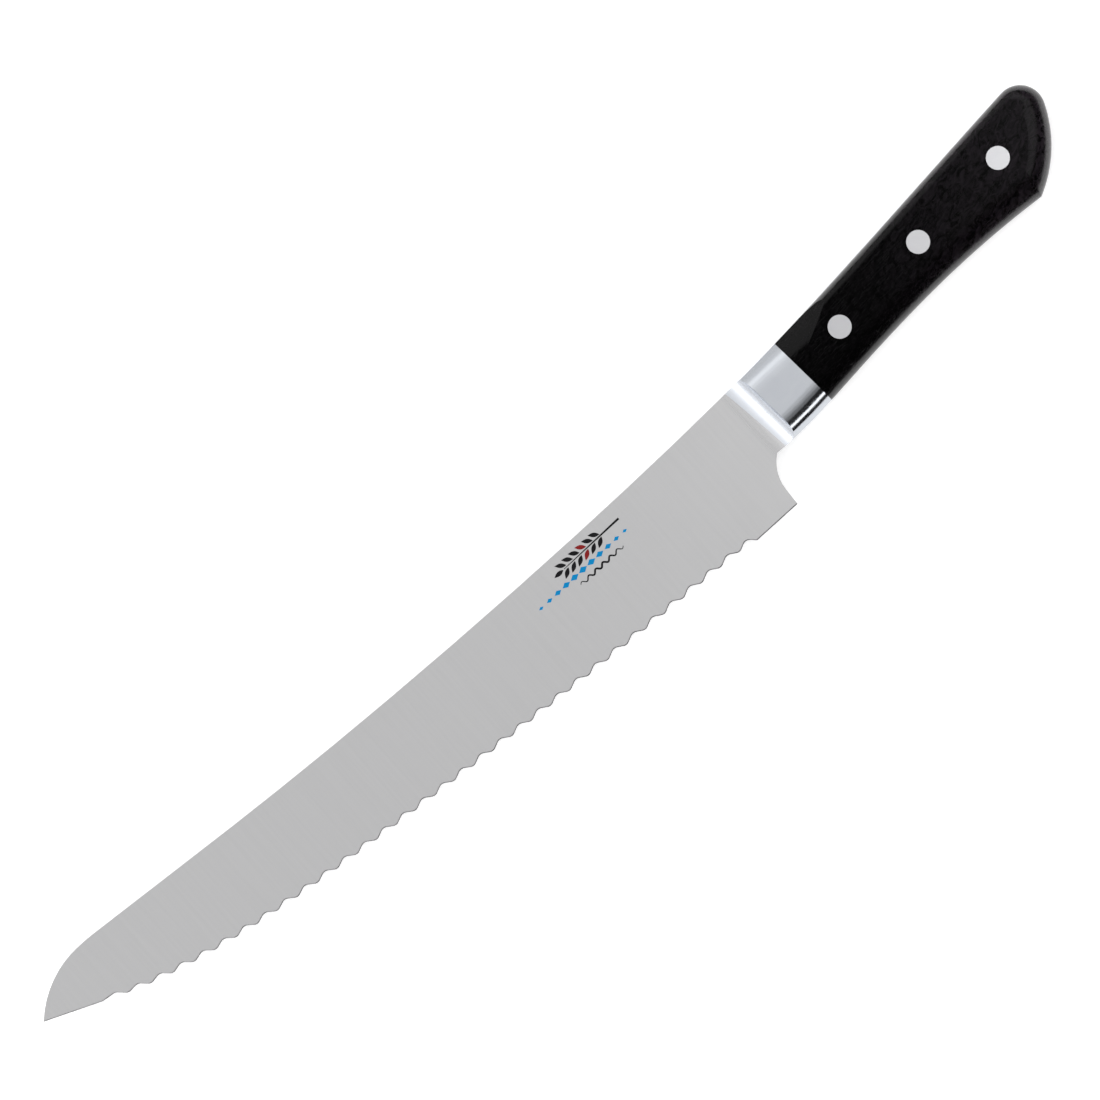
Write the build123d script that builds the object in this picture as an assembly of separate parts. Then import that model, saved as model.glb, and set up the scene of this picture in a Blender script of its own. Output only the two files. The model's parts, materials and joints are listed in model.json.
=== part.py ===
from build123d import *
import os
from math import cos, radians, sin

# Bread knife: a serrated blade with a full tang, two bolster cheeks, two wooden handle scales and three
# two-piece rivets. The outline is drawn with the heel corner of the cutting edge at the origin, +X toward
# the tip, +Y from the spine toward the cutting edge and +Z out of the left side. At the end the knife is
# shifted so that the origin is under the middle of its box, with the knife lying on its right side.

os.makedirs("parts", exist_ok=True)

# ---------------------------------------------------------------- driving dimensions, millimetres, degrees

# Thickness
STOCK = 2.5  # blade sheet, which is also the tang
HANDLE_THICKNESS = 16.0
EDGE_HEEL_THICKNESS = 1.1  # ground blade, at the heel corner
SPINE_HEEL_THICKNESS = 2.3  # ground blade, at the spine over the heel
SPINE_TIP_THICKNESS = 1.4  # ground blade, at the spine near the tip

# Spine and handle top, from the butt to the tip
SPINE_OVER_HEEL = (0.0, -38.2)
SPINE_NEAR_TIP = (238.5, -49.0)
TOP_POINTS = [
    (-126.5, -47.7),
    (-65.0, -42.1),
    (-30.0, -39.4),
    SPINE_OVER_HEEL,
    (60.0, -38.0),
    (120.0, -39.85),
    (180.0, -43.65),
    SPINE_NEAR_TIP,
]
TOP_SLOPE_BUTT = 4.8
TOP_SLOPE_TIP = -5.0
SPINE_CREST = (245.5, -49.25)
TIP = (267.2, -39.95)

# Cutting edge, from the heel to the tip
HEEL = (0.0, 0.0)
HEEL_FLAT_END = (16.1, -0.25)  # plain edge before the first gullet
TOOTH_POINTS = [
    (16.4, -0.95),
    (60.0, -3.6),
    (130.0, -9.3),
    (165.0, -12.95),
    (190.0, -16.2),
    (222.0, -22.45),
    (243.3, -29.4),
    (250.2, -32.45),  # plain edge from here to the tip
]
TOOTH_SLOPE_HEEL = -3.6
TOOTH_SLOPE_TIP = -24.5
GULLETS = 33
TOOTH_PITCH = 7.2
FIRST_GULLET = 2.2  # along the line of tooth tips
GULLET_DEPTH = 1.45
FADING_SHARES = [0.95, 0.85, 0.75]  # depth of the gullets nearest the tip, as shares of the full depth
GULLET_RADIUS = 2.2
TOOTH_RADIUS = 1.9
HEEL_FLAT_RADIUS = 0.25
FLANK_ANGLE = 27.0
BLANK_MARGIN = 2.0  # stock outside the teeth before they are ground

# Grind of the teeth
BEVEL_ANGLE = 18.0  # wide bevel, on the right side
MICRO_BEVEL_ANGLE = 15.0  # narrow bevel, on the left side
MICRO_BEVEL_DEPTH = 0.08
GRIND_SKEW = 7.4  # mean slope of the line of teeth

# Heel, belly of the handle and butt
CHOIL_POINTS = [(-0.44, -5.5), (-2.1, -10.9), (-5.9, -15.1)]
BELLY_POINTS = [
    CHOIL_POINTS[-1],
    (-24.0, -15.2),
    (-36.0, -16.25),
    (-60.0, -18.15),
    (-80.0, -18.85),
    (-97.0, -18.5),
    (-114.5, -17.2),
]
BUTT_KNEE = (-134.1, -37.0)  # where the small arc of the butt meets the large one

# Bolster
RAMP_FOOT = (-5.9, -26.0)  # front of the ramp, halfway down the blade
RAMP_RADIUS = 8.0
SEAM = (-27.75, -27.0)  # bolster to wood, halfway down the handle
BOLSTER_LEAN = 2.7

# Rounding of the handle: the width and depth of the quarter ellipse along each long corner
BELLY_ROUND = (9.0, 6.4)
BUTT_ROUND = (7.0, 6.4)
TOP_ROUND = (3.0, 4.2)

# Flat by the spine for the thumb, on the bolster and the front of the wood
THUMB_FLAT_ANGLE = 35.0
THUMB_ROLL_Y = -31.4  # where the side of the handle starts to roll over to the flat
THUMB_ROLL_RADIUS = 10.5
THUMB_FLAT_END = -32.0  # behind this X the flat runs out along an arc
RUNOUT_RADIUS = 54.0
RUNOUT_TURN = 28.0

# Rivets
RIVETS = {"front": (-44.6, -29.8), "middle": (-78.6, -32.3), "rear": (-112.7, -34.4)}
HEAD_DIAMETER = 7.1
HEAD_THICKNESS = 2.0
SHANK_DIAMETER = 5.0
PIN_DIAMETER = 3.4
TANG_HOLE_DIAMETER = 5.2
RIVET_END_GAP = 0.5  # between the end of a shank and the other half's head

# Room that the cutting solids leave round the stock
CLEAR = 12.0

HANDLE_SIDE = HANDLE_THICKNESS / 2
TANG_SIDE = STOCK / 2
UP = Vector(0, 0, 1)


# ---------------------------------------------------------------- helpers


def heading(angle):
    """Direction in the plane of the outline, in degrees from +X."""
    return Vector(cos(radians(angle)), sin(radians(angle)))


def other_side(shape):
    """The same shape on the other side of the blade's middle plane."""
    return mirror(shape, about=Plane.XY)


# ---------------------------------------------------------------- outline

top_line = Spline(*TOP_POINTS, tangents=[heading(TOP_SLOPE_BUTT), heading(TOP_SLOPE_TIP)])
crest_arc = TangentArc(top_line @ 1, SPINE_CREST, tangent=top_line % 1)
tip_arc = TangentArc(crest_arc @ 1, TIP, tangent=crest_arc % 1)
tooth_line = Spline(*TOOTH_POINTS, tangents=[heading(TOOTH_SLOPE_HEEL), heading(TOOTH_SLOPE_TIP)])
heel_line = Line(HEEL, CHOIL_POINTS[0])
choil_arc = ThreePointArc(*CHOIL_POINTS)
belly_line = Spline(*BELLY_POINTS)
small_butt_arc = TangentArc(top_line @ 0, BUTT_KNEE, tangent=-(top_line % 0))
large_butt_arc = TangentArc(BUTT_KNEE, BELLY_POINTS[-1], tangent=small_butt_arc % 1)
handle_top = top_line.trim(0, SPINE_OVER_HEEL)


def blank_outline():
    """Sheet blank of the blade: the finished outline, with spare stock outside the cutting edge."""
    heel_corner = heel_line @ 0 - (heel_line % 0) * BLANK_MARGIN
    tip_corner = tip_arc @ 1 + (tip_arc % 1) * BLANK_MARGIN
    beside_teeth = [beside_tooth_line(position, BLANK_MARGIN) for position in (0.25, 0.5, 0.75)]
    spare_edge = Spline(
        heel_corner, *beside_teeth, tip_corner, tangents=[heading(0), heading(TOOTH_SLOPE_TIP)]
    )
    spine = [top_line, crest_arc, tip_arc, Line(tip_arc @ 1, tip_corner)]
    heel = [spare_edge, Line(heel_corner, HEEL), heel_line, choil_arc]
    return make_face(spine + heel + [belly_line, large_butt_arc, small_butt_arc])


def handle_outline():
    """Outline of the handle and bolster, from the choil to the butt."""
    front = Line(handle_top @ 1, belly_line @ 0)
    return make_face([handle_top, front, belly_line, large_butt_arc, small_butt_arc])


def zigzag():
    """Corners of the teeth before they are rounded, and the radius that rounds each corner."""
    rounding_loss = 1 / cos(radians(FLANK_ANGLE)) - 1
    shares = [1.0] * (GULLETS - len(FADING_SHARES)) + FADING_SHARES
    points = []
    radii = []
    for number, share in enumerate(shares):
        gullet = (FIRST_GULLET + number * TOOTH_PITCH) / tooth_line.length
        depth = GULLET_DEPTH + GULLET_RADIUS * rounding_loss
        points.append(beside_tooth_line(gullet, -depth * share))
        radii.append(GULLET_RADIUS)
        if number < GULLETS - 1:
            tooth = gullet + TOOTH_PITCH / 2 / tooth_line.length
            points.append(beside_tooth_line(tooth, TOOTH_RADIUS * rounding_loss * share))
            radii.append(TOOTH_RADIUS)
    return points, radii


def beside_tooth_line(position, distance):
    """Point at a share of the line of tooth tips, and this far outside it."""
    along = tooth_line % position
    return tooth_line @ position + Vector(-along.Y, along.X) * distance


def outside_the_edge():
    """Region outside the finished cutting edge, in the plane of the edge."""
    corners, radii = zigzag()
    flat = (Vector(HEEL_FLAT_END) - Vector(HEEL)).normalized()
    plain = (Vector(TIP) - tooth_line @ 1).normalized()
    behind_heel = Vector(HEEL) - flat * CLEAR / 2
    beyond_tip = Vector(TIP) + plain * CLEAR
    edge = FilletPolyline(
        behind_heel,
        HEEL_FLAT_END,
        *corners,
        tooth_line @ 1,
        beyond_tip,
        radius=[HEEL_FLAT_RADIUS] + radii + [TOOTH_RADIUS],
    )
    far = Polyline(beyond_tip, (beyond_tip.X, CLEAR), (behind_heel.X, CLEAR), behind_heel)
    return make_face(edge.edges() + far.edges())


# ---------------------------------------------------------------- ground faces

# The left ground face is one plane. It rises toward the spine and falls toward the tip.
spine_rise = (SPINE_HEEL_THICKNESS - EDGE_HEEL_THICKNESS) / 2 / -SPINE_OVER_HEEL[1]
level_spine = EDGE_HEEL_THICKNESS / 2 - spine_rise * SPINE_NEAR_TIP[1]
tip_fall = (level_spine - SPINE_TIP_THICKNESS / 2) / SPINE_NEAR_TIP[0]
ground_normal = Vector(tip_fall, spine_rise, 1).normalized()
ground_forward = Vector(1, 0, -tip_fall)


def on_ground(place):
    """Point of the left ground face over a point of the outline."""
    return Vector(place.X, place.Y, EDGE_HEEL_THICKNESS / 2 - tip_fall * place.X - spine_rise * place.Y)


def ramp_cutter():
    """Everything above the left ground face and in front of the hollow ramp up to the bolster."""
    foot = Vector(RAMP_FOOT)
    along = (on_ground(foot + heading(90 + BOLSTER_LEAN)) - on_ground(foot)).normalized()
    section = Plane(origin=on_ground(foot), x_dir=along.cross(ground_normal), z_dir=-along)
    reach = TIP[0] + 2 * CLEAR
    ramp = CenterArc((0, RAMP_RADIUS), RAMP_RADIUS, 180, 90)
    rest = Polyline((0, 0), (reach, 0), (reach, 2 * CLEAR), (-RAMP_RADIUS, 2 * CLEAR), ramp @ 0)
    return extrude(section * make_face([ramp] + rest.edges()), amount=5 * CLEAR, both=True)


def serration_cutters():
    """Stock that grinding the teeth takes off: a wide bevel to the right, a narrow one to the left."""
    origin = on_ground(Vector(HEEL)) - ground_normal * MICRO_BEVEL_DEPTH
    edge_plane = Plane(origin=origin, x_dir=ground_forward, z_dir=ground_normal)
    region = edge_plane * outside_the_edge()
    skew = radians(GRIND_SKEW)
    to_spine = edge_plane.x_dir * -sin(skew) - edge_plane.y_dir * cos(skew)
    cutters = []
    for angle, side in ((BEVEL_ANGLE, -1), (MICRO_BEVEL_ANGLE, 1)):
        slant = to_spine * cos(radians(angle)) + ground_normal * side * sin(radians(angle))
        cutters.append(extrude(region, amount=STOCK / sin(radians(angle)), dir=slant))
    return cutters


# ---------------------------------------------------------------- blade and tang


def make_blade():
    blade = extrude(blank_outline(), amount=TANG_SIDE, both=True)
    grind = ramp_cutter()
    blade = blade - grind - other_side(grind)
    for cutter in serration_cutters():
        blade = blade - cutter
    for x, y in RIVETS.values():
        blade = blade - Pos(x, y, 0) * Cylinder(TANG_HOLE_DIAMETER / 2, 2 * STOCK)
    return blade


# ---------------------------------------------------------------- bolster and handle scales


def rounding_section(path, position, ellipse):
    """Region outside a quarter ellipse, across a corner of the handle's left half."""
    across = Plane(origin=path @ position, x_dir=UP.cross(path % position), z_dir=path % position)
    width, depth = ellipse
    foot = HANDLE_SIDE - depth
    curve = EllipticalCenterArc((width, foot), width, depth, start_angle=90, arc_size=90)
    margin = CLEAR / 4
    above = HANDLE_SIDE + margin
    rest = Polyline((0, foot), (-margin, foot), (-margin, above), (width, above), (width, HANDLE_SIDE))
    return across * make_face([curve] + rest.edges())


def rounding_cutters():
    """Cutters that round the left half's belly, butt, knee and top, in that order round the handle."""
    after_belly = Line(belly_line @ 1, belly_line @ 1 + (belly_line % 1) * CLEAR)
    belly = Wire([belly_line, after_belly])
    butt_arc = large_butt_arc.reversed(reconstruct=True)
    knee = small_butt_arc.reversed(reconstruct=True)
    before_butt = Line(butt_arc @ 0 - (butt_arc % 0) * CLEAR, butt_arc @ 0)
    butt = Wire([before_butt, butt_arc])
    knee_ends = [rounding_section(knee, 0, BUTT_ROUND), rounding_section(knee, 1, TOP_ROUND)]
    return [
        sweep(rounding_section(belly, 0, BELLY_ROUND), path=belly),
        sweep(rounding_section(butt, 0, BUTT_ROUND), path=butt),
        sweep(knee_ends, path=Wire([knee]), multisection=True),
        sweep(rounding_section(handle_top, 0, TOP_ROUND), path=Wire([handle_top])),
    ]


def thumb_flat_cutter():
    """Flat by the spine for the thumb. It rolls over from the side of the handle and runs out behind."""
    slope = radians(THUMB_FLAT_ANGLE)
    start = Vector(CLEAR, THUMB_ROLL_Y, HANDLE_SIDE)
    end = Vector(THUMB_FLAT_END, THUMB_ROLL_Y, HANDLE_SIDE)
    roll = CenterArc((0, -THUMB_ROLL_RADIUS), THUMB_ROLL_RADIUS, 90, -THUMB_FLAT_ANGLE)
    flat_end = roll @ 1 + heading(-THUMB_FLAT_ANGLE) * CLEAR
    rest = Polyline(roll @ 1, flat_end, (flat_end.X, CLEAR), (0, CLEAR), (0, 0))
    section = Plane(origin=start, x_dir=(0, -1, 0), z_dir=(-1, 0, 0)) * make_face([roll] + rest.edges())
    lift = Plane(origin=end, x_dir=(-1, 0, 0), z_dir=(0, cos(slope), sin(slope)))
    runout = lift * CenterArc((0, RUNOUT_RADIUS), RUNOUT_RADIUS, 270, RUNOUT_TURN)
    return sweep(section, path=Wire([Line(start, end), runout]))


def make_left_handle():
    """Left bolster cheek and left scale, which meet at the leaning seam."""
    half = extrude(Plane.XY.offset(TANG_SIDE) * handle_outline(), amount=HANDLE_SIDE - TANG_SIDE)
    for cutter in rounding_cutters() + [thumb_flat_cutter()]:
        half = half - cutter
    seam = Plane(origin=SEAM, x_dir=UP, z_dir=heading(BOLSTER_LEAN))
    bolster = split(half, bisect_by=seam, keep=Keep.TOP) - ramp_cutter()
    scale = split(half, bisect_by=seam, keep=Keep.BOTTOM)
    below = (Align.CENTER, Align.CENTER, Align.MAX)
    for x, y in RIVETS.values():
        scale = scale - Pos(x, y, HANDLE_SIDE) * Cylinder(HEAD_DIAMETER / 2, HEAD_THICKNESS, align=below)
        scale = scale - Pos(x, y, HANDLE_SIDE) * Cylinder(SHANK_DIAMETER / 2, HANDLE_SIDE, align=below)
    return bolster, scale


# ---------------------------------------------------------------- rivets


def make_rivet():
    """Male half with a solid pin, let in on the left, and female half with a hollow shank."""
    below = (Align.CENTER, Align.CENTER, Align.MAX)
    above = (Align.CENTER, Align.CENTER, Align.MIN)
    under_head = HANDLE_SIDE - HEAD_THICKNESS
    length = 2 * under_head - RIVET_END_GAP
    male = Pos(0, 0, HANDLE_SIDE) * Cylinder(HEAD_DIAMETER / 2, HEAD_THICKNESS, align=below)
    male = male + Pos(0, 0, under_head) * Cylinder(PIN_DIAMETER / 2, length, align=below)
    female = Pos(0, 0, -HANDLE_SIDE) * Cylinder(HEAD_DIAMETER / 2, HEAD_THICKNESS, align=above)
    female = female + Pos(0, 0, -under_head) * Cylinder(SHANK_DIAMETER / 2, length, align=above)
    female = female - Pos(0, 0, -under_head) * Cylinder(PIN_DIAMETER / 2, length, align=above)
    return male, female


# ---------------------------------------------------------------- whole knife

left_bolster, left_scale = make_left_handle()
nodes = {
    "blade": make_blade(),
    "bolster_left": left_bolster,
    "bolster_right": other_side(left_bolster),
    "scale_left": left_scale,
    "scale_right": other_side(left_scale),
}
male_half, female_half = make_rivet()
for place, (rivet_x, rivet_y) in RIVETS.items():
    nodes[f"rivet_{place}_male"] = Pos(rivet_x, rivet_y, 0) * male_half
    nodes[f"rivet_{place}_female"] = Pos(rivet_x, rivet_y, 0) * female_half

box = Compound(children=[Compound(shape.solids()) for shape in nodes.values()]).bounding_box()
to_origin = Pos(-box.center().X, -box.center().Y, -box.min.Z)
for name, shape in nodes.items():
    export_step(to_origin * shape, f"parts/{name}.step")
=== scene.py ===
import json
from math import cos, pi, radians, sin, tan

import bmesh
import bpy
from mathutils import Matrix, Vector

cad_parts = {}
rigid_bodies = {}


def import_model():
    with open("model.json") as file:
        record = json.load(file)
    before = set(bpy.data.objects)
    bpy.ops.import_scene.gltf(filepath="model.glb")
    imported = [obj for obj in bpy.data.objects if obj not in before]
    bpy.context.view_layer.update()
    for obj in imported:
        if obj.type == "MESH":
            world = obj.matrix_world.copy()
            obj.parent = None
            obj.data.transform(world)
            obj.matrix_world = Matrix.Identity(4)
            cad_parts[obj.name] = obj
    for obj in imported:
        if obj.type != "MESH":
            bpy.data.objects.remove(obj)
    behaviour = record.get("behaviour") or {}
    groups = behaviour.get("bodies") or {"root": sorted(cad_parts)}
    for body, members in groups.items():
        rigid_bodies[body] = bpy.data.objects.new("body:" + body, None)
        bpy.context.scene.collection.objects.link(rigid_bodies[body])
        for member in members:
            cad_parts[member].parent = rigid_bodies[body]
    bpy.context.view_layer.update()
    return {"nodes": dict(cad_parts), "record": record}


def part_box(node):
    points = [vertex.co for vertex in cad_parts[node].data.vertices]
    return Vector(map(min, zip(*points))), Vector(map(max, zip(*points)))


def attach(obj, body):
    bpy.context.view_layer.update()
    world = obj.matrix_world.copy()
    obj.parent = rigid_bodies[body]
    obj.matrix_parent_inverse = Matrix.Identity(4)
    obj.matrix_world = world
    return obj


# Bread knife on a white studio table, seen from straight above its left side. Lengths are in metres.
# +X runs from the butt to the tip, +Y from the spine to the cutting edge, +Z out of the left side.

for leftover in list(bpy.data.objects):
    bpy.data.objects.remove(leftover)
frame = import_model()

MM = 0.001
BODY = "root"

nodes = frame["nodes"]
mounts = {mount["name"]: mount for mount in frame["record"]["mounts"]}
blade_low, blade_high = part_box("blade")
bolster_low, bolster_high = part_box("bolster_left")
scale_low, scale_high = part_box("scale_left")
middle_height = (blade_low.z + blade_high.z) / 2


# ---------------------------------------------------------------- camera

CAMERA_DISTANCE = 6.0
CAMERA_REACH = 120.0
PICTURE_WIDTH = 0.3249  # across the picture, at the height of the blade
PICTURE_TURN = 137.0  # degrees from +X to the right of the picture
AIM = Vector((-0.00342, -0.01527, middle_height))


def add_camera():
    data = bpy.data.cameras.new("photo_camera")
    data.lens = data.sensor_width * CAMERA_DISTANCE / PICTURE_WIDTH
    data.clip_end = CAMERA_REACH
    camera = bpy.data.objects.new("photo_camera", data)
    camera.location = AIM + Vector((0, 0, CAMERA_DISTANCE))
    camera.rotation_euler = (0, 0, radians(PICTURE_TURN))
    bpy.context.scene.collection.objects.link(camera)
    bpy.context.scene.camera = camera


# ---------------------------------------------------------------- studio

LIGHT_DISTANCE = 2.4
SURROUND = 0.012  # radiance of the dark studio round the lights
BACKDROP = 0.9  # what the camera sees past the table

# Directions round the knife, in degrees from +X
TOWARD_TIP = 0
TOWARD_BELLY = 90
TOWARD_SPINE = 270

# Soft overhead light: sheets one over the other, so that it fades from the middle to its edge
OVERHEAD_RADIANCE = 1.0
OVERHEAD_LEAN = 1.8  # degrees from the zenith toward the belly
OVERHEAD_SPREADS = [22, 40, 56, 76]  # degrees across each sheet
SHEET_GAP = 0.02

# Sheets of light toward one side: (lowest and highest angle from the zenith, radiance)
TIP_SHEETS = [
    (9, 89, 0.3),
    (19, 89, 0.4),
    (28, 89, 0.4),
    (38, 89, 0.33),
    (51, 89, 0.3),
    (58, 89, 0.4),
    (65, 89, 0.85),
]
TIP_SPREAD = 60
SPINE_SHEETS = [(9, 78, 0.3), (18, 78, 0.3), (26, 78, 0.4), (37, 52, 0.6)]
SPINE_SPREAD = 90
SPINE_ON_WOOD = 1  # the only spine sheet that reaches the wood
BELLY_STRIP = (58.5, 69.5, 2.3)
BELLY_SPREAD = 80

# Lights close over the butt: a small bright one for the steel, and a large weak one for the wood
BUTT_LIGHT_PLACE = Vector((-0.34, 0.0, 0.5))
BUTT_LIGHT_SIZE = 0.16
BUTT_LIGHT_RADIANCE = 6.8
WOOD_GLOW_PLACE = Vector((-0.45, 0.0, 0.55))
WOOD_GLOW_SIZE = 0.5
WOOD_GLOW_RADIANCE = 0.36


def add_area_light(name, place, target, width, height, radiance):
    """Rectangular light that faces the target and has this radiance. Its width is level."""
    data = bpy.data.lights.new(name, "AREA")
    data.shape = "RECTANGLE"
    data.size = width
    data.size_y = height
    data.energy = radiance * pi * width * height
    light = bpy.data.objects.new(name, data)
    outward = (place - target).normalized()
    level = Vector((0, 0, 1)).cross(outward).normalized()
    light.matrix_world = Matrix((level, outward.cross(level), outward)).transposed().to_4x4()
    light.location = place
    light.visible_camera = False
    bpy.context.scene.collection.objects.link(light)
    return light


def add_sheet(name, number, azimuth, zenith, across, along, radiance):
    """Large light in this direction from the bolster, as wide and high as these angles."""
    distance = LIGHT_DISTANCE + number * SHEET_GAP
    target = Vector((bolster_low.x, 0, middle_height))
    side = Vector((cos(radians(azimuth)), sin(radians(azimuth)), 0))
    outward = side * sin(radians(zenith)) + Vector((0, 0, cos(radians(zenith))))
    width = 2 * distance * tan(radians(across / 2))
    height = 2 * distance * tan(radians(along / 2))
    return add_area_light(name, target + outward * distance, target, width, height, radiance)


def keep_off_wood(lights):
    """These lights don't reach the handle scales, so that the wood stays black."""
    shaded = bpy.data.collections.new("shaded_wood")
    for node in ("scale_left", "scale_right"):
        shaded.objects.link(nodes[node])
    for entry in shaded.collection_objects:
        entry.light_linking.link_state = "EXCLUDE"
    for light in lights:
        light.light_linking.receiver_collection = shaded


def add_side_sheets(side, azimuth, across, sheets):
    """Sheets of light toward one side, each between its lowest and highest angle from the zenith."""
    lights = []
    for number, (low, high, radiance) in enumerate(sheets):
        name = f"{side}_{number + 1}"
        middle = (low + high) / 2
        lights.append(add_sheet(name, number, azimuth, middle, across, high - low, radiance))
    return lights


def add_lights():
    steel_only = []
    share = OVERHEAD_RADIANCE / len(OVERHEAD_SPREADS)
    for number, spread in enumerate(OVERHEAD_SPREADS):
        name = f"overhead_{number + 1}"
        steel_only.append(add_sheet(name, number, TOWARD_BELLY, OVERHEAD_LEAN, spread, spread, share))
    steel_only += add_side_sheets("belly", TOWARD_BELLY, BELLY_SPREAD, [BELLY_STRIP])
    steel_only += add_side_sheets("tip", TOWARD_TIP, TIP_SPREAD, TIP_SHEETS)
    spine_lights = add_side_sheets("spine", TOWARD_SPINE, SPINE_SPREAD, SPINE_SHEETS)
    spine_lights.pop(SPINE_ON_WOOD)
    steel_only += spine_lights
    butt = Vector((scale_low.x, 0, 0))
    steel_only.append(add_area_light(
        "butt_light", BUTT_LIGHT_PLACE, butt, BUTT_LIGHT_SIZE, BUTT_LIGHT_SIZE, BUTT_LIGHT_RADIANCE))
    add_area_light("wood_glow", WOOD_GLOW_PLACE, butt, WOOD_GLOW_SIZE, WOOD_GLOW_SIZE, WOOD_GLOW_RADIANCE)
    keep_off_wood(steel_only)


def add_world():
    world = bpy.data.worlds.new("studio")
    world.use_nodes = True
    bpy.context.scene.world = world
    tree = world.node_tree
    tree.nodes.clear()
    rays = tree.nodes.new("ShaderNodeLightPath")
    dark = tree.nodes.new("ShaderNodeBackground")
    dark.inputs["Color"].default_value = (SURROUND, SURROUND, SURROUND, 1)
    pale = tree.nodes.new("ShaderNodeBackground")
    pale.inputs["Color"].default_value = (BACKDROP, BACKDROP, BACKDROP, 1)
    mix = tree.nodes.new("ShaderNodeMixShader")
    output = tree.nodes.new("ShaderNodeOutputWorld")
    tree.links.new(rays.outputs["Is Camera Ray"], mix.inputs["Fac"])
    tree.links.new(dark.outputs["Background"], mix.inputs[1])
    tree.links.new(pale.outputs["Background"], mix.inputs[2])
    tree.links.new(mix.outputs["Shader"], output.inputs["Surface"])


# ---------------------------------------------------------------- node helpers

NOISE_RANGE = (0.3, 0.7)  # nearly all values of a noise lie between these


class Finish:
    """A material, with short calls for the nodes that all the finishes share."""

    def __init__(self, name, base_color, roughness, metallic=0.0):
        self.material = bpy.data.materials.new(name)
        self.material.use_nodes = True
        self.tree = self.material.node_tree
        self.shader = self.tree.nodes["Principled BSDF"]
        self.shader.inputs["Base Color"].default_value = (*base_color, 1)
        self.shader.inputs["Roughness"].default_value = roughness
        self.shader.inputs["Metallic"].default_value = metallic
        self.material.diffuse_color = (*base_color, 1)
        self.place = self.tree.nodes.new("ShaderNodeTexCoord").outputs["Object"]
        self.normal = None

    def put(self, value, socket):
        """Links a value, or sets a number or vector, on a socket."""
        if isinstance(value, bpy.types.NodeSocket):
            self.tree.links.new(value, socket)
        else:
            socket.default_value = value

    def noise(self, grain, detail=3.0, turn=0.0, distortion=0.0):
        """Noise from 0 to 1 whose features have this size in metres along X, Y and Z, turned about Z."""
        turned = self.tree.nodes.new("ShaderNodeVectorRotate")
        turned.rotation_type = "Z_AXIS"
        turned.inputs["Angle"].default_value = radians(turn)
        self.put(self.place, turned.inputs["Vector"])
        scaled = self.tree.nodes.new("ShaderNodeVectorMath")
        scaled.operation = "MULTIPLY"
        scaled.inputs[1].default_value = [1 / length for length in grain]
        self.put(turned.outputs["Vector"], scaled.inputs[0])
        noise = self.tree.nodes.new("ShaderNodeTexNoise")
        noise.inputs["Scale"].default_value = 1.0
        noise.inputs["Detail"].default_value = detail
        noise.inputs["Distortion"].default_value = distortion
        self.put(scaled.outputs["Vector"], noise.inputs["Vector"])
        return noise.outputs["Fac"]

    def along(self, axis):
        """Coordinate along X, Y or Z, in metres."""
        split = self.tree.nodes.new("ShaderNodeSeparateXYZ")
        self.put(self.place, split.inputs["Vector"])
        return split.outputs[axis]

    def graded(self, value, start, end, low, high):
        """Value mapped from start..end to low..high, and held at both ends."""
        node = self.tree.nodes.new("ShaderNodeMapRange")
        for number, entry in enumerate((value, start, end, low, high)):
            self.put(entry, node.inputs[number])
        return node.outputs["Result"]

    def stretched(self, noise, low=0.0, high=1.0):
        """Noise whose usual range goes from low to high."""
        return self.graded(noise, *NOISE_RANGE, low, high)

    def math(self, operation, first, second):
        node = self.tree.nodes.new("ShaderNodeMath")
        node.operation = operation
        self.put(first, node.inputs[0])
        self.put(second, node.inputs[1])
        return node.outputs["Value"]

    def tint(self, share, color_a, color_b):
        """Colour between a and b by this share."""
        node = self.tree.nodes.new("ShaderNodeMix")
        node.data_type = "RGBA"
        self.put(share, node.inputs[0])
        for color, socket in ((color_a, node.inputs[6]), (color_b, node.inputs[7])):
            self.put(color if isinstance(color, bpy.types.NodeSocket) else (*color, 1), socket)
        return node.outputs[2]

    def bump(self, height, depth):
        """Adds relief that is this deep in metres where the height goes from 0 to 1."""
        node = self.tree.nodes.new("ShaderNodeBump")
        node.inputs["Strength"].default_value = 1.0
        node.inputs["Distance"].default_value = depth
        self.put(height, node.inputs["Height"])
        if self.normal is not None:
            self.put(self.normal, node.inputs["Normal"])
        self.normal = node.outputs["Normal"]

    def done(self, color=None, roughness=None):
        """Connects what varies over the surface and returns the material."""
        if color is not None:
            self.put(color, self.shader.inputs["Base Color"])
        if roughness is not None:
            self.put(roughness, self.shader.inputs["Roughness"])
        if self.normal is not None:
            self.put(self.normal, self.shader.inputs["Normal"])
        return self.material


# ---------------------------------------------------------------- finishes

BLADE_COLOR = (0.48, 0.48, 0.485)
BLADE_TINTS = (0.473, 0.472, 0.477), (0.487, 0.486, 0.491)
BLADE_HAIRLINE = (0.58, 0.58, 0.59)
BLADE_SATIN = (0.29, 0.32)  # roughness of the cloudy satin
BLADE_POLISH = 0.16  # roughness by the bolster
POLISH_END = 3 * MM  # the satin is full this far in front of the bolster
POLISH_START = -2 * MM

BEVEL_COLOR = (0.62, 0.62, 0.63)
BEVEL_TINTS = (0.57, 0.57, 0.58), (0.68, 0.68, 0.69)
BEVEL_ROUGHNESS = (0.22, 0.36)

# Painted shade: the fine bevel's steel is painted dark, darkest by the heel and lighter toward the tip
FINE_BEVEL_SHADED_COLOR = (0.3, 0.3, 0.305)
FINE_BEVEL_SHADE_BY_HEEL = (0.17, 0.17, 0.175)
FINE_BEVEL_SHADE_BY_TIP = (0.42, 0.42, 0.425)
FINE_BEVEL_WORN = (0.5, 0.5, 0.51)
FINE_BEVEL_ROUGHNESS = (0.22, 0.34)
TOOTH_LINE_SLOPE = -7.4  # degrees, so that grind lines run straight away from the teeth

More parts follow.
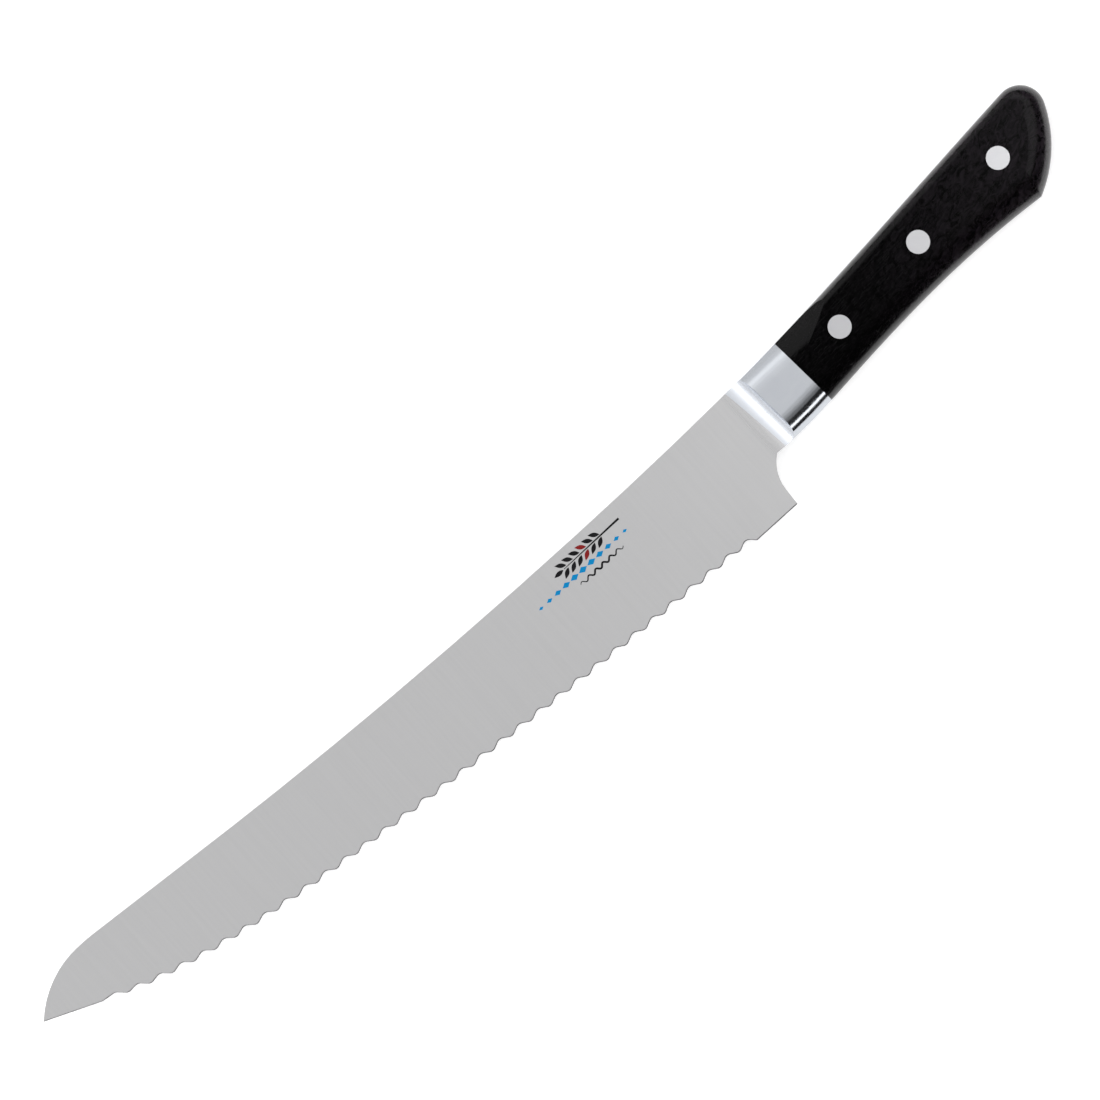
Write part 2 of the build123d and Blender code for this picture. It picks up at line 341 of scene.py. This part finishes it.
EDGE_COLOR = (0.46, 0.46, 0.47)
EDGE_TINTS = (0.47, 0.47, 0.48), (0.37, 0.36, 0.36)
EDGE_ROUGHNESS = (0.22, 0.38)

BOLSTER_COLOR = (0.502, 0.522, 0.556)
BOLSTER_TINTS = (0.493, 0.513, 0.55), (0.512, 0.532, 0.562)
BOLSTER_ROUGHNESS = (0.1, 0.17)
RAMP_DULLNESS = 0.2  # extra roughness on the ramp
RAMP_LENGTH = 7.5 * MM
RAMP_FADE = 3 * MM  # over which it sets in
ROLL_DULLNESS = 0.09  # extra roughness on the thumb roll
ROLL_WIDTH = 6 * MM
ROLL_FADE = 2 * MM

WOOD_COLOR = (0.006, 0.0055, 0.006)
WOOD_BLACK = (0.0016, 0.0015, 0.0018)
WOOD_MOTTLE = (0.072, 0.054, 0.073)
WOOD_GREY = (0.05, 0.042, 0.047)
WOOD_LAYER = (0.03, 0.022, 0.02)
WOOD_PORE = (0.0012, 0.0012, 0.0012)
WOOD_ROUGHNESS = (0.16, 0.26)
WOOD_GRAIN_SLOPE = -4  # degrees
WOOD_IOR = 1.55
PAINTED_LIGHT_START = 0.75  # painted light: the mottle, grain and layers grow from this share of the wood's length, from the butt, so the rear is painted lighter
PAINTED_LIGHT_FULL = 0.25
FRONT_PAINTED_LIGHT = 0.12  # share of the mottle and its painted light that is left at the front

RIVET_COLOR = (0.415, 0.415, 0.428)
RIVET_TINTS = (0.40, 0.40, 0.412), (0.435, 0.435, 0.448)
RIVET_ROUGHNESS = (0.32, 0.42)

INK_ROUGHNESS = (0.38, 0.56)
INK_SHINE = 0.06  # specular level

TABLE_COLOR = (0.8, 0.8, 0.8)
TABLE_TINTS = (0.79, 0.79, 0.79), (0.81, 0.81, 0.81)
TABLE_SHINE = 0.1  # specular level
TABLE_GLOW = 0.5


def satin_blade():
    """Ground face of the blade: fine grain from spine to edge that is polished away by the bolster."""
    finish = Finish("blade_satin", BLADE_COLOR, 0.3, metallic=1.0)
    fine = finish.noise((0.09 * MM, 9 * MM, 9 * MM), detail=4)
    broad = finish.noise((0.8 * MM, 30 * MM, 30 * MM), detail=3, turn=1.5)
    clouds = finish.noise((22 * MM, 14 * MM, 14 * MM), detail=4)
    scratch = finish.noise((6 * MM, 0.12 * MM, 6 * MM), detail=2, turn=9)
    hairline = finish.graded(scratch, 0.68, 0.74, 0.0, 1.0)
    front = bolster_high.x
    ground = finish.graded(finish.along("X"), front + POLISH_START, front + POLISH_END, 0.0, 1.0)
    grain = finish.stretched(fine)
    color = finish.tint(finish.stretched(broad), *BLADE_TINTS)
    color = finish.tint(finish.math("MULTIPLY", hairline, 0.2), color, BLADE_HAIRLINE)
    satin = finish.math("ADD", finish.stretched(clouds, *BLADE_SATIN), finish.math("MULTIPLY", grain, 0.05))
    above_polish = finish.math("SUBTRACT", satin, BLADE_POLISH)
    roughness = finish.math("ADD", BLADE_POLISH, finish.math("MULTIPLY", ground, above_polish))
    finish.bump(finish.math("MULTIPLY", grain, ground), 0.0006 * MM)
    finish.bump(finish.math("MULTIPLY", hairline, ground), 0.0008 * MM)
    return finish.done(color, roughness)


def ground_bevel():
    """Wide bevel on the right of the teeth: coarse grind lines that run straight away from the edge."""
    finish = Finish("blade_bevel", BEVEL_COLOR, 0.28, metallic=1.0)
    lines = finish.noise((0.14 * MM, 6 * MM, 6 * MM), detail=3, turn=TOOTH_LINE_SLOPE)
    patches = finish.noise((3 * MM, 3 * MM, 3 * MM), detail=2)
    color = finish.tint(finish.stretched(lines), *BEVEL_TINTS)
    finish.bump(lines, 0.004 * MM)
    return finish.done(color, finish.stretched(patches, *BEVEL_ROUGHNESS))


def fine_bevel():
    """Narrow bevel on the left of the teeth, painted dark as a thin line of painted shade that is darkest
    near the heel.
    """
    finish = Finish("blade_fine_bevel", FINE_BEVEL_SHADED_COLOR, 0.26, metallic=1.0)
    lines = finish.noise((0.1 * MM, 4 * MM, 4 * MM), detail=3, turn=TOOTH_LINE_SLOPE)
    wear = finish.noise((2.5 * MM, 2.5 * MM, 2.5 * MM), detail=3)
    toward_tip = finish.graded(finish.along("X"), bolster_high.x, blade_high.x, 0.0, 1.0)
    # painted shade along the teeth, darkest by the heel
    color = finish.tint(toward_tip, FINE_BEVEL_SHADE_BY_HEEL, FINE_BEVEL_SHADE_BY_TIP)
    color = finish.tint(finish.graded(wear, 0.4, 0.7, 0.0, 0.3), color, FINE_BEVEL_WORN)
    finish.bump(lines, 0.002 * MM)
    return finish.done(color, finish.stretched(wear, *FINE_BEVEL_ROUGHNESS))


def edge_steel():
    """Spine, choil and the tang between the scales: darker steel with a belt finish along the knife."""
    finish = Finish("edge_steel", EDGE_COLOR, 0.3, metallic=1.0)
    lines = finish.noise((12 * MM, 12 * MM, 0.1 * MM), detail=4)
    stains = finish.noise((9 * MM, 9 * MM, 3 * MM), detail=4)
    color = finish.tint(finish.graded(stains, 0.45, 0.75, 0.0, 1.0), *EDGE_TINTS)
    finish.bump(lines, 0.003 * MM)
    return finish.done(color, finish.stretched(lines, *EDGE_ROUGHNESS))


def polished_bolster():
    """Polished cheek with buffing lines along the knife and fine scratches, duller on ramp and roll."""
    finish = Finish("bolster_polish", BOLSTER_COLOR, 0.14, metallic=1.0)
    buffing = finish.noise((14 * MM, 0.07 * MM, 0.07 * MM), detail=3)
    haze = finish.noise((5 * MM, 3 * MM, 3 * MM), detail=4, distortion=0.5)
    scratch = finish.noise((5 * MM, 0.05 * MM, 5 * MM), detail=2, turn=34)
    hairline = finish.graded(scratch, 0.66, 0.73, 0.0, 1.0)
    color = finish.tint(finish.graded(haze, 0.3, 0.75, 0.0, 1.0), *BOLSTER_TINTS)
    polish = finish.stretched(haze, *BOLSTER_ROUGHNESS)
    roughness = finish.math("ADD", polish, finish.math("MULTIPLY", hairline, 0.1))
    ramp = bolster_high.x - RAMP_LENGTH
    roll = bolster_low.y + ROLL_WIDTH
    on_ramp = finish.graded(finish.along("X"), ramp, ramp + RAMP_FADE, 0.0, RAMP_DULLNESS)
    on_roll = finish.graded(finish.along("Y"), roll - ROLL_FADE, roll, ROLL_DULLNESS, 0.0)
    roughness = finish.math("ADD", roughness, finish.math("MAXIMUM", on_ramp, on_roll))
    finish.bump(buffing, 0.0005 * MM)
    finish.bump(hairline, 0.0006 * MM)
    return finish.done(color, roughness)


def black_wood():
    """Black dyed veneers pressed to a block: long grain, pores and a purple-brown mottle, with painted
    light that lets the mottle, grain and layers show only toward the rear.
    """
    finish = Finish("handle_wood", WOOD_COLOR, 0.2)
    finish.shader.inputs["IOR"].default_value = WOOD_IOR
    slope = WOOD_GRAIN_SLOPE
    long_grain = finish.noise((24 * MM, 0.8 * MM, 0.5 * MM), detail=5, turn=slope, distortion=0.8)
    fibres = finish.noise((6 * MM, 0.12 * MM, 0.12 * MM), detail=3, turn=slope)
    mottle = finish.noise((3.2 * MM, 1.9 * MM, 1.9 * MM), detail=6, turn=-20, distortion=1.4)
    veneers = finish.noise((60 * MM, 60 * MM, 0.55 * MM), detail=1)
    pore_noise = finish.noise((2.6 * MM, 0.11 * MM, 0.11 * MM), detail=1, turn=slope)
    pores = finish.graded(pore_noise, 0.64, 0.7, 0.0, 1.0)
    butt = scale_low.x
    length = scale_high.x - butt
    full, least = butt + PAINTED_LIGHT_FULL * length, butt + PAINTED_LIGHT_START * length
    # Painted light: the wood is painted lighter toward the butt, where the mottle, grain and layers show,
    # and fades to black toward the front
    rear = finish.graded(finish.along("X"), full, least, 1.0, FRONT_PAINTED_LIGHT)
    brown = finish.math("MULTIPLY", finish.graded(mottle, 0.38, 0.68, 0.0, 1.0), rear)
    color = finish.tint(brown, WOOD_BLACK, WOOD_MOTTLE)
    grey = finish.math("MULTIPLY", finish.graded(long_grain, 0.5, 0.72, 0.0, 0.45), rear)
    color = finish.tint(grey, color, WOOD_GREY)
    layer = finish.math("MULTIPLY", finish.graded(veneers, 0.5, 0.62, 0.0, 0.2), rear)
    color = finish.tint(layer, color, WOOD_LAYER)
    color = finish.tint(finish.math("MULTIPLY", pores, 0.8), color, WOOD_PORE)
    smooth = finish.stretched(mottle, *WOOD_ROUGHNESS)
    roughness = finish.math("ADD", smooth, finish.math("MULTIPLY", pores, 0.15))
    finish.bump(fibres, 0.0025 * MM)
    finish.bump(long_grain, 0.012 * MM)
    finish.bump(pores, -0.006 * MM)
    return finish.done(color, roughness)


def sanded_rivet(name, turn):
    """Rivet head sanded flush with the wood, with straight marks from the belt."""
    finish = Finish(name, RIVET_COLOR, 0.3, metallic=1.0)
    lines = finish.noise((4 * MM, 0.06 * MM, 0.3 * MM), detail=3, turn=turn)
    haze = finish.noise((1.6 * MM, 1.6 * MM, 1.6 * MM), detail=3)
    color = finish.tint(finish.stretched(lines), *RIVET_TINTS)
    finish.bump(lines, 0.0012 * MM)
    return finish.done(color, finish.stretched(haze, *RIVET_ROUGHNESS))


def ink(name, dark, light):
    """Printed ink: slightly uneven cover over the satin steel."""
    finish = Finish(name, dark, 0.45)
    finish.shader.inputs["Specular IOR Level"].default_value = INK_SHINE
    cover = finish.noise((0.5 * MM, 0.5 * MM, 0.5 * MM), detail=4)
    grain = finish.noise((0.09 * MM, 9 * MM, 9 * MM), detail=3)
    color = finish.tint(finish.graded(cover, 0.45, 0.8, 0.0, 1.0), dark, light)
    finish.bump(grain, 0.0008 * MM)
    return finish.done(color, finish.stretched(cover, *INK_ROUGHNESS))


def table_paint():
    """White table that glows, so that it shows hardly any shadow."""
    finish = Finish("table_white", TABLE_COLOR, 0.9)
    finish.shader.inputs["Specular IOR Level"].default_value = TABLE_SHINE
    finish.shader.inputs["Emission Color"].default_value = (1, 1, 1, 1)
    finish.shader.inputs["Emission Strength"].default_value = TABLE_GLOW
    fleck = finish.noise((3 * MM, 3 * MM, 3 * MM), detail=2)
    return finish.done(finish.tint(fleck, *TABLE_TINTS))


# ---------------------------------------------------------------- dressing the CAD nodes

STEEP = 0.35  # a face whose normal rises or falls by less than this is an edge of the sheet
BEVEL_TILT = 0.1  # a face of the blade whose normal leans more than this toward the edge is a bevel
BOLSTER_COVER = 2 * MM  # the tang starts this far behind the front of the bolster
RIVETS = [("front", 12), ("middle", 47), ("rear", 31)]  # each with its marks' direction in degrees


def dress(node, finishes, choose=None):
    """Gives a CAD node its materials, and each face the one that choose(face) names by its place."""
    mesh = nodes[node].data
    mesh.materials.clear()
    for finish in finishes:
        mesh.materials.append(finish)
    for face in mesh.polygons:
        face.material_index = choose(face) if choose else 0


def blade_area(face):
    """0 on ground faces, 1 on wide right bevels, 2 on spine, choil and tang, 3 on fine left bevels."""
    lean = face.normal
    if abs(lean.z) < STEEP or face.center.x < bolster_high.x - BOLSTER_COVER:
        return 2
    if lean.y > BEVEL_TILT:
        return 1 if lean.z < 0 else 3
    return 0


def dress_knife():
    wood = black_wood()
    bolster = polished_bolster()
    dress("blade", [satin_blade(), ground_bevel(), edge_steel(), fine_bevel()], blade_area)
    for side in ("left", "right"):
        dress(f"bolster_{side}", [bolster])
        dress(f"scale_{side}", [wood])
    for place, turn in RIVETS:
        for half in ("male", "female"):
            dress(f"rivet_{place}_{half}", [sanded_rivet(f"rivet_{place}_{half}_steel", turn)])


# ---------------------------------------------------------------- print on the blade

INK_RISE = 0.012 * MM
INK_SINK = 0.004 * MM
PRINT_CENTER = Vector((-6.6 * MM, -4.4 * MM))
PRINT_LENGTH = 37 * MM

BLACK_INKS = (0.006, 0.006, 0.007), (0.02, 0.02, 0.022)
BLUE_INKS = (0.002, 0.205, 0.47), (0.01, 0.24, 0.50)
RED_INKS = (0.2, 0.012, 0.012), (0.26, 0.03, 0.03)

EAR_OFFSET = Vector((-4.0 * MM, -3.9 * MM))
EAR_LENGTH = 16 * MM
EAR_PAIRS = 6
GRAIN_LENGTH = 3.6 * MM
GRAIN_WIDTH = 1.35 * MM
GRAIN_ANGLE = 36.0
GRAIN_SWELL = 1.15  # how full the foot of a grain is
GRAIN_TAPER = 0.3  # how much less full its top is
RED_PAIR = 2
TOP_GRAIN_GAP = 0.3 * MM
STALK_WIDTH = 0.42 * MM
STALK_LENGTH = 22 * MM
STALK_SWELL = [1.6, 1.0, 0.5]  # width at the foot, halfway and at the top, as shares

WAVE_OFFSET = Vector((-5.0 * MM, 2.9 * MM))
WAVE_LENGTH = 17 * MM
WAVE_CRESTS = 6
WAVE_HEIGHT = 1.0 * MM
WAVE_WIDTH = 0.62 * MM
WAVE_END_SHARE = 0.35  # width at the ends, as a share
WAVE_STEPS = 96

DIAMONDS = 11
DIAMOND_LENGTH = 3.2 * MM
DIAMOND_WIDTH = 1.9 * MM
DIAMOND_END_SHARE = 0.45  # size of the smallest, as a share
CURVE_STEPS = 12


def leaf(root, angle, length, width):
    """Outline of a grain: two shallow curves that meet in points."""
    way = Vector((cos(angle), sin(angle)))
    side = Vector((-sin(angle), cos(angle)))
    outline = []
    for sign in (1, -1):
        for step in range(CURVE_STEPS):
            share = step / CURVE_STEPS if sign > 0 else 1 - step / CURVE_STEPS
            swell = sin(pi * share) * (GRAIN_SWELL - GRAIN_TAPER * share)
            outline.append(root + way * length * share + side * sign * swell * width / 2)
    return outline


def ribbon(points, widths):
    """Outline of a line through the points with a width at each."""
    left = []
    right = []
    for number, point in enumerate(points):
        before = points[max(number - 1, 0)]
        after = points[min(number + 1, len(points) - 1)]
        way = (after - before).normalized()
        side = Vector((-way.y, way.x)) * widths[number] / 2
        left.append(point + side)
        right.append(point - side)
    return left + right[::-1]


def wheat_ear():
    """Black outlines of the ear, and the two red grains near its middle."""
    black = []
    red = []
    for pair in range(EAR_PAIRS):
        root = Vector((EAR_LENGTH * (pair + 0.5) / EAR_PAIRS - EAR_LENGTH / 2, 0))
        for sign in (1, -1):
            foot = root + Vector((0, sign * STALK_WIDTH))
            grain = leaf(foot, sign * radians(GRAIN_ANGLE), GRAIN_LENGTH, GRAIN_WIDTH)
            if pair == RED_PAIR:
                red.append(grain)
            else:
                black.append(grain)
    top = Vector((EAR_LENGTH / 2, 0))
    black.append(leaf(top + Vector((TOP_GRAIN_GAP, 0)), 0, GRAIN_LENGTH, GRAIN_WIDTH))
    start = Vector((EAR_LENGTH / 2 - STALK_LENGTH, 0))
    widths = [share * STALK_WIDTH for share in STALK_SWELL]
    black.append(ribbon([start, start.lerp(top, 0.5), top], widths))
    return black, red


def wave_line():
    """A line that waves like the teeth of the blade and thins out at both ends."""
    points = []
    widths = []
    for step in range(WAVE_STEPS + 1):
        share = step / WAVE_STEPS
        height = WAVE_HEIGHT * sin(2 * pi * WAVE_CRESTS * share) / 2
        points.append(Vector((WAVE_LENGTH * (share - 0.5), height)))
        widths.append(WAVE_WIDTH * (WAVE_END_SHARE + (1 - WAVE_END_SHARE) * sin(pi * share)))
    return [ribbon(points, widths)]


def diamond_row():
    """A row of diamonds, largest in the middle."""
    outlines = []
    for number in range(DIAMONDS):
        share = (number + 0.5) / DIAMONDS
        size = DIAMOND_END_SHARE + (1 - DIAMOND_END_SHARE) * sin(pi * share)
        center = Vector((PRINT_LENGTH * (share - 0.5), 0))
        reach = Vector((DIAMOND_LENGTH / 2 * size, 0))
        swell = Vector((0, DIAMOND_WIDTH / 2 * size))
        outlines.append([center - reach, center - swell, center + reach, center + swell])
    return outlines


def on_ground_face(x, y, rise):
    """Point over the left ground face, which the record gives as a mount."""
    mount = mounts["blade_left_face"]
    normal = Vector(mount["axis"])
    anchor = Vector(mount["pos_m"])
    z = anchor.z - (normal.x * (x - anchor.x) + normal.y * (y - anchor.y)) / normal.z
    return Vector((x, y, z)) + normal * rise


def add_print(name, outlines, center, finish):
    """A thin closed layer of ink for each outline, on the left ground face."""
    layer = bmesh.new()
    for outline in outlines:
        places = [center + point for point in outline]
        top = [layer.verts.new(on_ground_face(place.x, place.y, INK_RISE)) for place in places]
        bottom = [layer.verts.new(on_ground_face(place.x, place.y, -INK_SINK)) for place in places]
        layer.faces.new(top)
        layer.faces.new(bottom[::-1])
        for number in range(len(outline)):
            following = (number + 1) % len(outline)
            layer.faces.new((top[number], bottom[number], bottom[following], top[following]))
    bmesh.ops.recalc_face_normals(layer, faces=layer.faces)
    mesh = bpy.data.meshes.new(name)
    layer.to_mesh(mesh)
    layer.free()
    mesh.materials.append(finish)
    piece = bpy.data.objects.new(name, mesh)
    bpy.context.scene.collection.objects.link(piece)
    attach(piece, BODY)


def add_prints():
    black_ink = ink("print_black", *BLACK_INKS)
    blue_ink = ink("print_blue", *BLUE_INKS)
    red_ink = ink("print_red", *RED_INKS)
    black, red = wheat_ear()
    ear_center = PRINT_CENTER + EAR_OFFSET
    add_print("print_ear", black, ear_center, black_ink)
    add_print("print_grains", red, ear_center, red_ink)
    add_print("print_diamonds", diamond_row(), PRINT_CENTER, blue_ink)
    add_print("print_wave", wave_line(), PRINT_CENTER + WAVE_OFFSET, black_ink)


# ---------------------------------------------------------------- table

TABLE_GAP = 0.1 * MM  # keeps the table from flickering through the side that lies on it
TABLE_RADIUS = 12.0
TABLE_SIDES = 64


def add_table():
    disc = bmesh.new()
    rim = []
    for number in range(TABLE_SIDES):
        turn = 2 * pi * number / TABLE_SIDES
        rim.append(disc.verts.new((TABLE_RADIUS * cos(turn), TABLE_RADIUS * sin(turn), -TABLE_GAP)))
    disc.faces.new(rim)
    mesh = bpy.data.meshes.new("table")
    disc.to_mesh(mesh)
    disc.free()
    mesh.materials.append(table_paint())
    table = bpy.data.objects.new("table", mesh)
    bpy.context.scene.collection.objects.link(table)


# ---------------------------------------------------------------- whole scene

add_camera()
add_world()
add_lights()
add_table()
dress_knife()
add_prints()
bpy.context.scene.view_settings.view_transform = "Standard"
